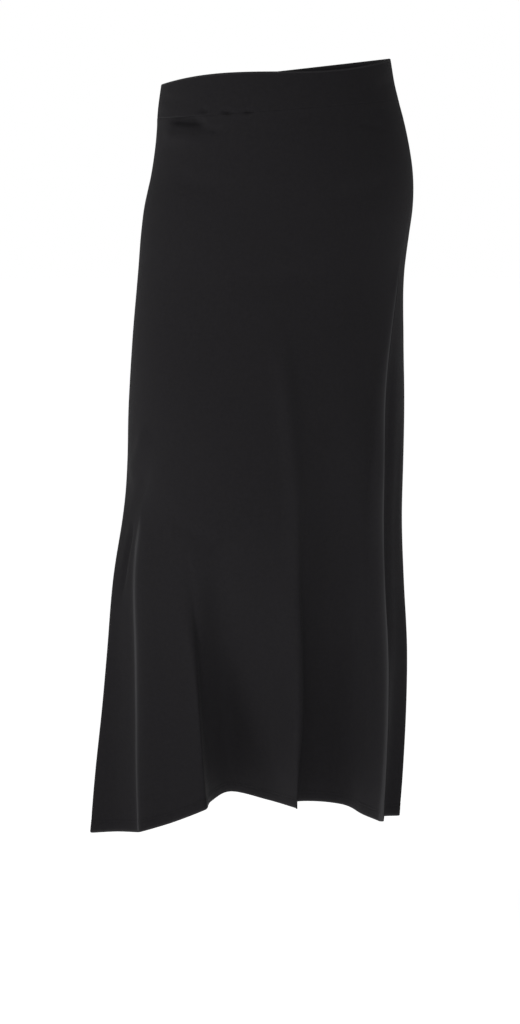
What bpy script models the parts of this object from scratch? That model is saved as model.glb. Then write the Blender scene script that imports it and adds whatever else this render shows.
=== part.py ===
"""A long A-line skirt of heavy jersey, in the hollow form that it has when it is worn.

Three sewn pieces: a wide waistband folded double at its top edge, a front panel and a back
panel. The panels meet at the side seams, and their hems are turned up once, inside. One hip is
raised, so the waistband tilts, and the cloth falls from the hips into soft folds at the hem.

The origin is the middle of the waist, where the skirt is held. +Z is up, the front faces -Y,
and +X is on the right of someone who looks at the front.
"""

import math
from collections import namedtuple

import bpy
import numpy as np

# Sizes in this file are in millimetres, and become metres as the meshes are made.
METRES_PER_MM = 0.001

CLOTH = 1.3
TURNED_HEM = 16.0
BAND_THICKNESS = 3.0
BAND_PROUD = 0.6
SEAM_GAP = 0.3
HEM_COLUMN = 15.0
ROW_HEIGHT = 33.0
# The wall's slope at a fold is read over this far to each side of it.
FOLD_REACH = 5.0
SHARPEST_MITRE = 0.5
BAND_COLUMNS = 96
BAND_ROWS = 4
FOLDED_EDGE_STEPS = 4

# Half the waist's width, for the tilt of its two edges across X.
WAIST_HALF_WIDTH = 140.0
BAND_TOP_LEFT = -15.5
BAND_TOP_RIGHT = 15.5
BAND_SEAM_LEFT = -56.5
BAND_SEAM_RIGHT = -35.0
# The top edge rides up over the left of the front and dips on the right by this much.
BAND_TOP_SWAY = 7.5

# How fast a fold opens below its start: 1 is a straight-sided flute.
FOLD_OPENING = 1.2
# The heights between which the cloth's lines turn from the hips' angles to the thighs'.
TURN_FROM = -60.0
TURN_TO = -430.0

# The cloth's reach at each height: to the left, right, front and back of the origin's axis.
Section = namedtuple("Section", "height left right front back")
SECTIONS = (
    Section(18, -139.0, 139.0, -97, 99),
    Section(-14, -140.5, 144.0, -101, 103),
    Section(-56, -145.5, 156.0, -107, 110),
    Section(-90, -148.5, 163.5, -111, 116),
    Section(-126, -154.0, 168.5, -114, 121),
    Section(-164, -162.5, 168.5, -116, 124),
    Section(-200, -167.0, 164.0, -118, 126),
    Section(-238, -170.0, 159.5, -119, 127),
    Section(-330, -178.0, 158.5, -122, 127),
    Section(-404, -182.0, 159.0, -124, 128),
    Section(-480, -185.0, 158.0, -126, 132),
    Section(-552, -193.0, 157.0, -128, 138),
    Section(-624, -203.0, 159.0, -130, 145),
    Section(-714, -210.0, 163.0, -133, 153),
    Section(-770, -215.0, 162.5, -135, 157),
    Section(-854, -223.5, 158.5, -138, 164),
    Section(-934, -229.5, 152.0, -140, 170),
)

# The lines that the cloth hangs in, round from the left side seam by way of the front.
# hip and thigh are the line's angles about the figure, in degrees from the front towards +X.
# start is the height where the line leaves the figure, and x, y and z place it on the hem.
# firm is 0 for a round fold and near 1 for a crease.
Fold = namedtuple("Fold", "name hip thigh start x y z firm")
FRONT_FOLDS = (
    Fold("left side seam", -81, -66, -430, -169, -118, -927, 0.75),
    Fold("left lobe", -60, -48, -470, -131, -118, -916, 0.00),
    Fold("lobe edge", -38, -31, -560, -86, -120, -898, 0.65),
    Fold("lobe tuck", -30, -25, -600, -80, -66, -900, 0.00),
    Fold("notch", -21, -17, -570, -57, -24, -897, 0.00),
    Fold("centre rise", -6, -3, -540, -10, -42, -904, 0.00),
    Fold("centre ridge", 8, 11.5, -480, 26, -89, -904, 0.75),
    Fold("centre tuck", 17, 18, -470, 24, -58, -903, 0.00),
    Fold("right hollow", 32, 26, -450, 51, -50, -904, 0.00),
    Fold("right hollow, outer", 45, 37, -450, 84, -51, -908, 0.00),
    Fold("right rise", 60, 46, -420, 107, -87, -912, 0.00),
)
BACK_FOLDS = (
    Fold("right side seam", 82, 55.5, -300, 128, -123, -912, 0.75),
    Fold("right tuck", 91, 72, -300, 132, -97, -912, 0.00),
    Fold("right flare", 99, 85, -330, 152, -85, -914, 0.60),
    Fold("right under-fold", 109, 100, -420, 128, -8, -912, 0.00),
    Fold("right back ridge", 121, 116, -400, 141, 74, -910, 0.00),
    Fold("right back hollow", 135, 132, -440, 104, 105, -908, 0.00),
    Fold("back ridge, right", 150, 148, -360, 68, 154, -907, 0.00),
    Fold("back hollow, right", 164, 163, -430, 19, 138, -907, 0.00),
    Fold("back ridge, middle", 178, 178, -330, -28, 168, -908, 0.00),
    Fold("back hollow, left", 193, 194, -450, -75, 138, -910, 0.00),
    Fold("back ridge, left", 208, 210, -380, -124, 150, -914, 0.00),
    Fold("left back hollow", 221, 225, -440, -168, 98, -919, 0.00),
    Fold("left back ridge", 236, 240, -400, -203, 48, -924, 0.00),
    Fold("left under-fold", 249, 255, -440, -194, -26, -928, 0.00),
    Fold("left flare", 261, 270, -430, -229, -95, -933, 0.60),
    Fold("left gore hollow", 270, 283, -470, -197, -101, -930, 0.00),
)
FOLDS = FRONT_FOLDS + BACK_FOLDS
FULL_TURN = 360.0

# Soft swellings where the figure presses the cloth out, or lets it fall in.
Press = namedtuple("Press", "name angle height across along push")
PRESSES = (
    Press("forward thigh", -38, -415, 34, 120, 9.0),
    Press("break below the thigh", -70, -535, 22, 45, -5.0),
    Press("seat, right", 150, -190, 24, 85, 5.0),
    Press("seat, left", 210, -190, 24, 85, 5.0),
    Press("hollow of the back", 180, -85, 20, 50, -4.0),
)

CLOTH_COLOUR = (0.012, 0.012, 0.013, 1.0)
CLOTH_ROUGHNESS = 0.85


def weighted_slopes(positions, values):
    """Slopes through uneven points, each the mean of its two sides weighted by nearness."""
    gaps = np.diff(positions)
    rises = np.diff(values, axis=0) / gaps[:, None]
    slopes = np.empty_like(values)
    before, after = gaps[:-1, None], gaps[1:, None]
    slopes[1:-1] = (after * rises[:-1] + before * rises[1:]) / (before + after)
    slopes[0], slopes[-1] = rises[0], rises[-1]
    return slopes


def steady_slopes(positions, values):
    """Slopes that never make a rising run of points fall between two of them."""
    gaps = np.diff(positions)
    rises = np.diff(values, axis=0) / gaps[:, None]
    slopes = np.zeros_like(values)
    same_way = rises[:-1] * rises[1:] > 0
    pairs = np.where(same_way, rises[:-1] + rises[1:], 1.0)
    slopes[1:-1] = np.where(same_way, 2 * rises[:-1] * rises[1:] / pairs, 0.0)
    slopes[0], slopes[-1] = rises[0], rises[-1]
    return slopes


def curve_at(positions, values, slopes, place):
    """The cubic through the points, read at one place along it."""
    i = int(np.clip(np.searchsorted(positions, place, side="right") - 1, 0, len(positions) - 2))
    gap = positions[i + 1] - positions[i]
    s = (place - positions[i]) / gap
    return (
        (1 + 2 * s) * (1 - s) ** 2 * values[i]
        + s * (1 - s) ** 2 * gap * slopes[i]
        + s * s * (3 - 2 * s) * values[i + 1]
        - s * s * (1 - s) * gap * slopes[i + 1]
    )


# The table of sections runs down, and the curve wants its places to rise.
SECTION_PLACES = np.array([-s.height for s in SECTIONS], float)
SECTION_VALUES = np.array([s[1:] for s in SECTIONS], float)
SECTION_SLOPES = weighted_slopes(SECTION_PLACES, SECTION_VALUES)


def section_at(height):
    """The middle of the cloth across X at a height, half its width, and its front and back reach."""
    place = float(np.clip(-height, SECTION_PLACES[0], SECTION_PLACES[-1]))
    left, right, front, back = curve_at(SECTION_PLACES, SECTION_VALUES, SECTION_SLOPES, place)
    return (left + right) / 2, (right - left) / 2, -front, back


def hem_share(fold):
    """A fold's place on the hem as shares of the section's half width and of its depth there."""
    middle, half_width, front, back = section_at(fold.z)
    return (fold.x - middle) / half_width, fold.y / (front if fold.y < 0 else back)


def round_the_hem():
    """Places along the hem for the folds, and what the cloth's surface reads at each of them.

    The folds are repeated once before and once after, so that the curves close smoothly.
    """
    count = len(FOLDS)
    rows = []
    for i in range(-2, count + 3):
        fold = FOLDS[i % count]
        turns = FULL_TURN * (i // count)
        rows.append((fold, turns))
    points = np.array([(f.x, f.y, f.z) for f, _ in rows], float)
    steps = np.linalg.norm(np.diff(points, axis=0), axis=1)
    places = np.concatenate([[0.0], np.cumsum(steps)])
    places -= places[2]
    figure = np.array([(f.hip + turns, f.thigh + turns, f.start) for f, turns in rows], float)
    hem = np.array([(*hem_share(f), f.z) for f, _ in rows], float)
    looseness = np.array([1.0 - f.firm for f, _ in rows])[:, None]
    return places, figure, hem, looseness


PLACES, FIGURE, HEM, LOOSENESS = round_the_hem()
FIGURE_SLOPES = steady_slopes(PLACES, FIGURE)
HEM_SLOPES = weighted_slopes(PLACES, HEM) * LOOSENESS
LEFT_SEAM = 0.0
RIGHT_SEAM = float(PLACES[2 + len(FRONT_FOLDS)])
HEM_ROUND = float(PLACES[2 + len(FOLDS)])


def smooth_step(share):
    share = min(1.0, max(0.0, share))
    return share * share * (3 - 2 * share)


def across_waist(x, left, right):
    """A height on the tilted line that passes the two sides of the waist at left and right."""
    return left + (right - left) * (x / WAIST_HALF_WIDTH + 1) / 2


def pressed(angle, height):
    """How far the figure presses the cloth out at an angle and a height."""
    total = 0.0
    for press in PRESSES:
        turn = (angle - press.angle + FULL_TURN / 2) % FULL_TURN - FULL_TURN / 2
        far = (turn / press.across) ** 2 + ((height - press.height) / press.along) ** 2
        total += press.push * math.exp(-far)
    return total


def on_figure(angle, height):
    """Where the cloth lies on the figure at a height and an angle from the front, in degrees."""
    middle, half_width, front, back = section_at(height)
    turn = math.radians(angle)
    depth = front if math.cos(turn) > 0 else back
    out = pressed(angle, height)
    return np.array((
        middle + (half_width + out) * math.sin(turn),
        -(depth + out) * math.cos(turn),
    ))


def seam_height(angle):
    """The height of the seam under the waistband at an angle about the figure."""
    x = on_figure(angle, (BAND_SEAM_LEFT + BAND_SEAM_RIGHT) / 2)[0]
    return across_waist(x, BAND_SEAM_LEFT, BAND_SEAM_RIGHT)


def top_height(angle):
    """The height of the waistband's folded top edge at an angle about the figure."""
    x = on_figure(angle, (BAND_TOP_LEFT + BAND_TOP_RIGHT) / 2)[0]
    turn = math.radians(angle)
    sway = -BAND_TOP_SWAY * math.sin(2 * turn) * max(0.0, math.cos(turn))
    return across_waist(x, BAND_TOP_LEFT, BAND_TOP_RIGHT) + sway


def surface(place, share):
    """A point of the panels' outer face.

    place runs along the hem from the left side seam, in millimetres, and share runs down from
    the seam under the waistband, at 0, to the hem, at 1.
    """
    hip, thigh, start = curve_at(PLACES, FIGURE, FIGURE_SLOPES, place)
    hem_x, hem_y, hem_z = curve_at(PLACES, HEM, HEM_SLOPES, place)
    top = seam_height(hip)
    height = top + (hem_z - top) * share
    angle = hip + (thigh - hip) * smooth_step((TURN_FROM - height) / (TURN_FROM - TURN_TO))
    opened = min(1.0, max(0.0, (start - height) / (start - hem_z))) ** FOLD_OPENING
    middle, half_width, front, back = section_at(height)
    loose = np.array((middle + half_width * hem_x, (front if hem_y < 0 else back) * hem_y))
    x, y = (1 - opened) * on_figure(angle, height) + opened * loose
    return np.array((x, y, height))


def unit(vector):
    return vector / np.linalg.norm(vector)


def directions(place, share):
    """How the wall lies at a point of the panels' face.

    Returns the step inwards for each millimetre of thickness, and the unit direction along the
    hem. In a sharp fold the inward step halves the fold, and is longer to keep its walls thick.
    """
    ahead, point, behind = (surface(place + reach, share) for reach in (FOLD_REACH, 0, -FOLD_REACH))
    drop = 0.002
    down = surface(place, min(1.0, share + drop)) - surface(place, max(0.0, share - drop))
    along = ahead - behind
    outward = unit(np.cross(down, along))
    one_side, other_side = unit(np.cross(down, point - behind)), unit(np.cross(down, ahead - point))
    half_fold = math.sqrt(max(0.0, (1 + one_side @ other_side) / 2))
    return -outward / max(half_fold, SHARPEST_MITRE), unit(along)


def hem_places(first, last):
    """Columns from one side seam to the next: every fold line, and even steps between them."""
    stops = [p for p in PLACES if first - 1e-6 <= p <= last + 1e-6]
    columns = [first]
    for a, b in zip(stops, stops[1:]):
        count = max(2, round((b - a) / HEM_COLUMN))
        columns += [a + (b - a) * (k + 1) / count for k in range(count)]
    return columns


def panel_rows():
    """Shares of the panel's length for its rows, and the wall's thickness at each."""
    length = -(HEM[:, 2].mean() - (BAND_SEAM_LEFT + BAND_SEAM_RIGHT) / 2)
    turned = 1 - TURNED_HEM / length
    edge = CLOTH / length
    count = round(length * turned / ROW_HEIGHT)
    rows = [(turned * i / count, CLOTH) for i in range(count)]
    rows += [(turned - edge, CLOTH), (turned, 2 * CLOTH), ((1 + turned) / 2, 2 * CLOTH), (1.0, 2 * CLOTH)]
    return rows


def panel_faces(first, last):
    """The outer and inner points of a panel, row by row from the waistband's seam to the hem."""
    columns = hem_places(first, last)
    outer, inner = [], []
    for share, thickness in panel_rows():
        outer_row, inner_row = [], []
        for k, place in enumerate(columns):
            point = surface(place, share)
            inwards, along = directions(place, share)
            if share == 0:
                point[2] -= SEAM_GAP / 2
            if k == 0:
                point = point + along * SEAM_GAP / 2
            elif k == len(columns) - 1:
                point = point - along * SEAM_GAP / 2
            outer_row.append(point)
            inner_row.append(point + inwards * thickness)
        outer.append(outer_row)
        inner.append(inner_row)
    return outer, inner


def band_rings():
    """Rings round the waistband: up its outer face, over the folded top edge, and down inside."""
    radius = BAND_THICKNESS / 2
    middle = BAND_PROUD - radius
    shares = [i / BAND_ROWS for i in range(BAND_ROWS)]
    turns = [math.pi * i / FOLDED_EDGE_STEPS for i in range(FOLDED_EDGE_STEPS + 1)]
    profile = [(share, middle + radius, 0.0) for share in shares]
    profile += [(1.0, middle + radius * math.cos(t), radius * (math.sin(t) - 1)) for t in turns]
    profile += [(share, middle - radius, 0.0) for share in reversed(shares)]
    rings = []
    for share, out, lift in profile:
        ring = []
        for k in range(BAND_COLUMNS):
            angle = FULL_TURN * k / BAND_COLUMNS
            low = seam_height(angle) + SEAM_GAP / 2
            height = low + (top_height(angle) - low) * share + lift
            x, y = on_figure(angle, height)
            ahead, behind = on_figure(angle + 1, height), on_figure(angle - 1, height)
            side = unit(np.array((ahead[1] - behind[1], behind[0] - ahead[0])))
            ring.append(np.array((x + out * side[0], y + out * side[1], height)))
        rings.append(ring)
    return rings


def mesh_object(name, points, faces, material, collection):
    """An object made of points in millimetres and faces that point outwards."""
    mesh = bpy.data.meshes.new(name)
    mesh.from_pydata([tuple(p * METRES_PER_MM) for p in points], [], faces)
    mesh.materials.append(material)
    mesh.shade_smooth()
    mesh.set_sharp_from_angle(angle=math.radians(50))
    made = bpy.data.objects.new(name, mesh)
    collection.objects.link(made)
    return made


def wall_of(outer, inner):
    """One closed wall from its outer and inner grids of points, with a rim all round."""
    rows, columns = len(outer), len(outer[0])
    points = [p for row in outer for p in row] + [p for row in inner for p in row]
    behind = rows * columns
    faces = []
    for i in range(rows - 1):
        for j in range(columns - 1):
            a, b = i * columns + j, i * columns + j + 1
            c, d = b + columns, a + columns
            faces.append((a, d, c, b))
            faces.append((a + behind, b + behind, c + behind, d + behind))
    top = list(range(columns))
    right = [i * columns + columns - 1 for i in range(1, rows)]
    bottom = [(rows - 1) * columns + j for j in range(columns - 2, -1, -1)]
    left = [i * columns for i in range(rows - 2, 0, -1)]
    rim = top + right + bottom + left
    for a, b in zip(rim, rim[1:] + rim[:1]):
        faces.append((a, b, b + behind, a + behind))
    return points, faces


def tube_of(rings):
    """One closed wall from rings that follow each other round its thickness."""
    count, columns = len(rings), len(rings[0])
    points = [p for ring in rings for p in ring]
    faces = []
    for i in range(count):
        for j in range(columns):
            a, b = i * columns + j, i * columns + (j + 1) % columns
            shift = ((i + 1) % count - i) * columns
            faces.append((a, b, b + shift, a + shift))
    return points, faces


def clear_scene():
    for thing in list(bpy.data.objects):
        bpy.data.objects.remove(thing)


def cloth_material():
    """Black jersey, matt."""
    material = bpy.data.materials.new("black_jersey")
    material.use_nodes = True
    shader = material.node_tree.nodes["Principled BSDF"]
    shader.inputs["Base Color"].default_value = CLOTH_COLOUR
    shader.inputs["Roughness"].default_value = CLOTH_ROUGHNESS
    shader.inputs["Metallic"].default_value = 0.0
    material.diffuse_color = CLOTH_COLOUR
    return material


def main():
    clear_scene()
    skirt = bpy.data.collections.new("skirt")
    bpy.context.scene.collection.children.link(skirt)
    jersey = cloth_material()
    for name, first, last in (
        ("front_panel", LEFT_SEAM, RIGHT_SEAM),
        ("back_panel", RIGHT_SEAM, HEM_ROUND),
    ):
        points, faces = wall_of(*panel_faces(first, last))
        mesh_object(name, points, faces, jersey, skirt)
    points, faces = tube_of(band_rings())
    mesh_object("waistband", points, faces, jersey, skirt)


main()
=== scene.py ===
"""The looks of a long A-line skirt of black jersey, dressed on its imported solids.

Each panel is a thin shell of cloth on the form of the solid that it stands for, with its finer
folds, rolled seams, turned hem and stitches. Sizes are in millimetres, and become metres as a
mesh is made. +Z is up, the front faces -Y, and the origin is the middle of the waist.
"""

import logging
import math
from dataclasses import dataclass, field
from enum import Enum
from functools import cached_property
from typing import Callable, Mapping

import bmesh
import bpy
import numpy as np
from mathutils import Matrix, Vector


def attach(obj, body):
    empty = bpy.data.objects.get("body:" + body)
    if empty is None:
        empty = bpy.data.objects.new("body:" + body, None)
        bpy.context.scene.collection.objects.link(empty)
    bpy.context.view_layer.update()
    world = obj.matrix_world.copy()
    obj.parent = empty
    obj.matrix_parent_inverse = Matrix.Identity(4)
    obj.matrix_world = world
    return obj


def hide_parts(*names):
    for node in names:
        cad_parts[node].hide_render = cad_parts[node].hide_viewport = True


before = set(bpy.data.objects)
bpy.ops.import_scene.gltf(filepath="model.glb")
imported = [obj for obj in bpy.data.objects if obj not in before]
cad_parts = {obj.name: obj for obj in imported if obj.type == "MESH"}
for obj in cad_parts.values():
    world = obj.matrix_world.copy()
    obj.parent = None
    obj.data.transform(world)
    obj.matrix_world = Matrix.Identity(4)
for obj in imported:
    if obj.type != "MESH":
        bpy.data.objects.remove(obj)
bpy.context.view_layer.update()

LOG = logging.getLogger("skirt")
METRES_PER_MM = 0.001
FULL_TURN = 360.0
BODY = "root"
CLOTH_UV = "cloth"
# The mesh attribute that carries painted highlight along the seams and the band's lit edge, and
# painted sheen with some real wear on folded edges.
HIGHLIGHT_AND_WEAR = "highlight_and_wear"

QUIET_OVER = 12.0
QUIET_FROM = 0.25
PINCH_LEVEL = 0.2
PINCH_FALL = 1.5
PINCH_ROUNDING = 0.018
MERGE_METRES = 1e-5
WHITE = (1.0, 1.0, 1.0, 1.0)

Array = np.ndarray
Socket = bpy.types.NodeSocket
Colour = tuple[float, float, float]
Value = Socket | float | tuple[float, ...]


@dataclass(frozen=True)
class Section:
    """The cloth's reach at one height: left, right, front and back of the waist's axis."""

    height: float
    left: float
    right: float
    front: float
    back: float


@dataclass(frozen=True)
class Fold:
    """A line that the cloth hangs in, from the waistband to the hem.

    hip and thigh are its angles about the figure, from the front towards +X. It leaves the
    figure at start, and reaches the hem at x, y, z. firm is 0 for a round fold and near 1 for a
    crease.
    """

    name: str
    hip: float
    thigh: float
    start: float
    x: float
    y: float
    z: float
    firm: float


@dataclass(frozen=True)
class Press:
    """A soft swelling where the figure presses the cloth out, or lets it fall in."""

    name: str
    angle: float
    height: float
    across: float
    along: float
    push: float


@dataclass(frozen=True)
class Crease:
    """A soft trough or ridge, drawn through (angle, height) points on the cloth.

    rise is in millimetres and negative for a trough, and width is half the crease's width. lip
    throws up one side: a positive one the side that is on the left as the path is followed. A
    pinched crease comes to an edge, and others are round.
    """

    name: str
    path: tuple[tuple[float, float], ...]
    rise: float
    width: float
    lip: float = 0.0
    fade: float = 0.35
    pinched: bool = False


class Side(Enum):
    """The panel of the skirt that a piece belongs to."""

    FRONT = "front"
    BACK = "back"


@dataclass(frozen=True)
class Seam:
    """A side seam: how high its ridge stands, where it starts to show as it goes down, and its
    painted highlight.
    """

    rise: float
    shows_at: float
    over: float = 45.0
    flat: float = 0.10
    front_width: float = 5.0
    back_width: float = 5.0
    # How bright the painted highlight on the seam's ridge is on each side, and how far its painted
    # glow reaches.
    front_highlight: float = 1.0
    back_highlight: float = 1.0
    glow: float = 6.0

    def width(self, side: Side) -> float:
        """How far the ridge reaches into the panel on one side of the seam."""
        return self.front_width if side is Side.FRONT else self.back_width

    def lit_and_worn(self, side: Side) -> float:
        """How strong the painted highlight is along the edge of the panel on one side of the seam.
        """
        return self.front_highlight if side is Side.FRONT else self.back_highlight

    def stands(self, height: Array) -> Array:
        """How far the ridge stands up at heights, from almost nothing to 1."""
        return self.flat + (1 - self.flat) * smooth_step((self.shows_at - height) / self.over)


# The left seam's painted highlight lies on both of its sides, and the right seam's almost only on
# the front panel's side, towards the light.
LEFT_SEAM = Seam(rise=1.9, shows_at=-532.0, flat=0.0, back_width=4.0, back_highlight=0.8)
RIGHT_SEAM = Seam(
    rise=4.0, shows_at=-225.0, front_width=11.0, back_width=2.6, back_highlight=0.05, glow=9.0
)

SECTIONS = (
    Section(18, -139.0, 139.0, -97, 99),
    Section(-14, -140.5, 144.0, -101, 103),
    Section(-56, -145.5, 156.0, -107, 110),
    Section(-90, -148.5, 163.5, -111, 116),
    Section(-126, -154.0, 168.5, -114, 121),
    Section(-164, -162.5, 168.5, -116, 124),
    Section(-200, -167.0, 164.0, -118, 126),
    Section(-238, -170.0, 159.5, -119, 127),
    Section(-330, -178.0, 158.5, -122, 127),
    Section(-404, -182.0, 159.0, -124, 128),
    Section(-480, -185.0, 158.0, -126, 132),
    Section(-552, -193.0, 157.0, -128, 138),
    Section(-624, -203.0, 159.0, -130, 145),
    Section(-714, -210.0, 163.0, -133, 153),
    Section(-770, -215.0, 162.5, -135, 157),
    Section(-854, -223.5, 158.5, -138, 164),
    Section(-934, -229.5, 152.0, -140, 170),
)

FRONT_FOLDS = (
    Fold("left side seam", -81, -66, -430, -169, -118, -927, 0.75),
    Fold("left lobe", -60, -48, -470, -131, -118, -916, 0.00),
    Fold("lobe edge", -38, -31, -560, -86, -120, -898, 0.65),
    Fold("lobe tuck", -30, -25, -600, -80, -66, -900, 0.00),
    Fold("notch", -21, -17, -570, -57, -24, -897, 0.00),
    Fold("centre rise", -6, -3, -540, -10, -42, -904, 0.00),
    Fold("centre ridge", 8, 11.5, -480, 26, -89, -904, 0.75),
    Fold("centre tuck", 17, 18, -470, 24, -58, -903, 0.00),
    Fold("right hollow", 32, 26, -450, 51, -50, -904, 0.00),
    Fold("right hollow, outer", 45, 37, -450, 84, -51, -908, 0.00),
    Fold("right rise", 60, 46, -420, 107, -87, -912, 0.00),
)
BACK_FOLDS = (
    Fold("right side seam", 82, 55.5, -300, 128, -123, -912, 0.75),
    Fold("right tuck", 91, 72, -300, 132, -97, -912, 0.00),
    Fold("right flare", 99, 85, -330, 152, -85, -914, 0.60),
    Fold("right under-fold", 109, 100, -420, 128, -8, -912, 0.00),
    Fold("right back ridge", 121, 116, -400, 141, 74, -910, 0.00),
    Fold("right back hollow", 135, 132, -440, 104, 105, -908, 0.00),
    Fold("back ridge, right", 150, 148, -360, 68, 154, -907, 0.00),
    Fold("back hollow, right", 164, 163, -430, 19, 138, -907, 0.00),
    Fold("back ridge, middle", 178, 178, -330, -28, 168, -908, 0.00),
    Fold("back hollow, left", 193, 194, -450, -75, 138, -910, 0.00),
    Fold("back ridge, left", 208, 210, -380, -124, 150, -914, 0.00),
    Fold("left back hollow", 221, 225, -440, -168, 98, -919, 0.00),
    Fold("left back ridge", 236, 240, -400, -203, 48, -924, 0.00),
    Fold("left under-fold", 249, 255, -440, -194, -26, -928, 0.00),
    Fold("left flare", 261, 270, -430, -229, -95, -933, 0.60),
    Fold("left gore hollow", 270, 283, -470, -197, -101, -930, 0.00),
)

PRESSES = (
    Press("forward thigh", -38, -415, 34, 120, 9.0),
    Press("break below the thigh", -70, -535, 22, 45, -5.0),
    Press("seat, right", 150, -190, 24, 85, 5.0),
    Press("seat, left", 210, -190, 24, 85, 5.0),
    Press("hollow of the back", 180, -85, 20, 50, -4.0),
)

SIDE_CREASES = (
    Crease(
        "thigh bulge", ((-54, -425), (-62, -455), (-70, -480), (-79, -505)), 3.0, 13.0, fade=0.3
    ),
    Crease(
        "thigh break", ((-53, -472), (-62, -500), (-70, -526), (-79, -556)), -2.6, 9.5, -0.2, 0.4
    ),
    Crease("groove behind the left seam", ((-73, -545), (-75, -590), (-78, -660)), -3.8, 5.5, -0.3),
)

PUCKERS = (
    Crease("pucker 1", ((-41, -45.5), (-35, -47.5)), -3.0, 2.5),
    Crease("pucker 2", ((-28.5, -47.5), (-22.5, -49)), -3.0, 2.2),
    Crease("pucker 3", ((-18, -47.3), (-12.5, -47.8)), -2.0, 2.1),
)

FRONT_CREASES = SIDE_CREASES + PUCKERS + (
    Crease("dimple under the band", ((-65, -58), (-55, -59), (-45, -60), (-35, -62)), -7.0, 4.8),
    Crease("dimple, running out", ((-46, -64), (-36, -67), (-24, -70)), -1.3, 5.0, 0.2),
    Crease("fullness under the dimple", ((-72, -76), (-54, -78), (-34, -82)), 2.6, 9.0),
    Crease("small dimple", ((-34, -70), (-31, -71)), -0.7, 2.2),
    Crease("drag under the band, right", ((34, -58), (46, -64), (60, -66)), -0.7, 4.0, 0.3),
    Crease("hip drag 1", ((-58, -118), (-40, -132), (-18, -140)), -1.1, 11.0, 0.3),
    Crease("hip drag 2", ((58, -122), (38, -140), (14, -146)), -0.8, 12.0, -0.3),
    Crease("hip mark", ((-23, -133), (-19, -137)), -0.6, 2.4),
    Crease("lap drag", ((-26, -236), (2, -246), (30, -232)), -0.9, 14.0, 0.2),
    Crease("knee drag", ((-44, -520), (-30, -552), (-12, -566)), -1.2, 12.0, 0.3),
    Crease(
        "centre ridge, high", ((6, -300), (7.5, -370), (10.5, -450), (13, -520), (13, -620)),
        5.4, 12.0,
    ),
    Crease(
        "centre ridge, pinched", ((13, -470), (13, -680), (13, -890)), 5.8, 11.0, fade=0.3,
        pinched=True,
    ),
    Crease(
        "hollow right of the ridge", ((27, -330), (27, -440), (27, -560), (28, -680)), -3.0, 22.0
    ),
    Crease("right thigh fullness", ((44, -380), (45, -500), (45, -600)), 1.6, 17.0),
    Crease(
        "lobe edge, pinched", ((-33, -640), (-31, -740), (-31, -880)), 1.6, 9.0, fade=0.3,
        pinched=True,
    ),
    Crease("recess head", ((-16, -580), (-16, -660), (-16, -760), (-16, -870)), -2.6, 17.0),
    Crease("centre flute", ((-1, -640), (0, -760), (0, -880)), 1.2, 9.0),
)

BACK_CREASES = SIDE_CREASES + (
    Crease(
        "groove behind the right seam", ((62.5, -300), (62, -450), (62, -640), (62, -780)),
        -6.5, 8.0,
    ),
    Crease("right flare shoulder", ((80, -400), (79, -520), (79, -640)), 1.6, 9.0),
    Crease("dimple under the band, back", ((148, -59), (160, -63), (171, -62)), -2.0, 3.0, 0.4),
    Crease("dimple, left back", ((226, -72), (236, -75), (243, -73)), -1.3, 3.2, 0.4),
    Crease("drag in the back's hollow", ((158, -88), (180, -95), (204, -91)), -2.0, 7.0, 0.4),
    Crease("drag over the seat", ((140, -128), (166, -140), (190, -136)), -1.1, 11.0, 0.3),
    Crease("right hip drag", ((96, -118), (112, -136), (130, -146)), -1.2, 9.0, 0.3),
    Crease("left hip drag", ((-86, -150), (246, -166), (226, -176)), -1.2, 10.0, -0.3),
    Crease("under the seat, right", ((128, -262), (146, -286), (166, -290)), -2.6, 13.0, 0.4),
    Crease("under the seat, left", ((234, -268), (214, -294), (196, -296)), -2.4, 13.0, -0.4),
    Crease("fall from the seat, right", ((150, -300), (149, -420), (148, -560)), 3.0, 17.0),
    Crease("fall from the seat, middle", ((176, -310), (177, -450), (178, -580)), 2.4, 16.0),
    Crease("fall from the seat, left", ((208, -300), (209, -430), (210, -570)), 3.0, 17.0),
    Crease("hollow between the falls, right", ((163, -330), (163, -480), (163, -620)), -2.2, 13.0),
    Crease("hollow between the falls, left", ((192, -340), (193, -480), (194, -640)), -2.2, 13.0),
    Crease("behind the knee, left", ((222, -545), (210, -575), (196, -588)), -2.2, 10.0, 0.5),
    Crease("behind the knee, right", ((138, -520), (150, -552), (164, -560)), -1.8, 10.0, -0.4),
    Crease("right side fall", ((116, -300), (115, -440), (116, -600)), 2.2, 15.0),
    Crease("right side hollow", ((127, -320), (130, -470), (132, -620)), -1.8, 12.0),
    Crease("left side fall", ((236, -320), (238, -450), (240, -600)), 2.2, 15.0),
    Crease("left side hollow", ((248, -330), (252, -470), (255, -610)), -2.0, 12.0),
    Crease("calf flute, right", ((141, -680), (141, -790), (141, -890)), 1.6, 9.0),
    Crease("calf flute, middle", ((171, -660), (171, -780), (171, -885)), 1.5, 9.0),
    Crease("calf flute, left", ((217, -690), (218, -800), (218, -895)), 1.7, 10.0),
    Crease("flare flute, left", ((262, -650), (263, -770), (264, -900)), -2.0, 10.0),
)

BAND_CREASES = PUCKERS + (
    Crease("band roll, left", ((-80, -30), (-60, -34), (-42, -33)), -0.7, 7.0, 0.4),
    Crease("band roll, right", ((52, -18), (66, -13), (80, -10)), -0.7, 7.0, 0.4),
    Crease("band roll, back", ((150, -20), (176, -26), (205, -32)), -1.1, 8.0, 0.4),
    Crease("centre back join", ((180, -56), (180, -30), (180, 6)), -0.8, 0.9, fade=0.02),
)


def spans(positions: Array, values: Array) -> tuple[Array, Array]:
    """The gaps between uneven points, and the slopes across the gaps."""
    gaps = np.diff(positions)[:, None]
    return gaps, np.diff(values, axis=0) / gaps


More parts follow.
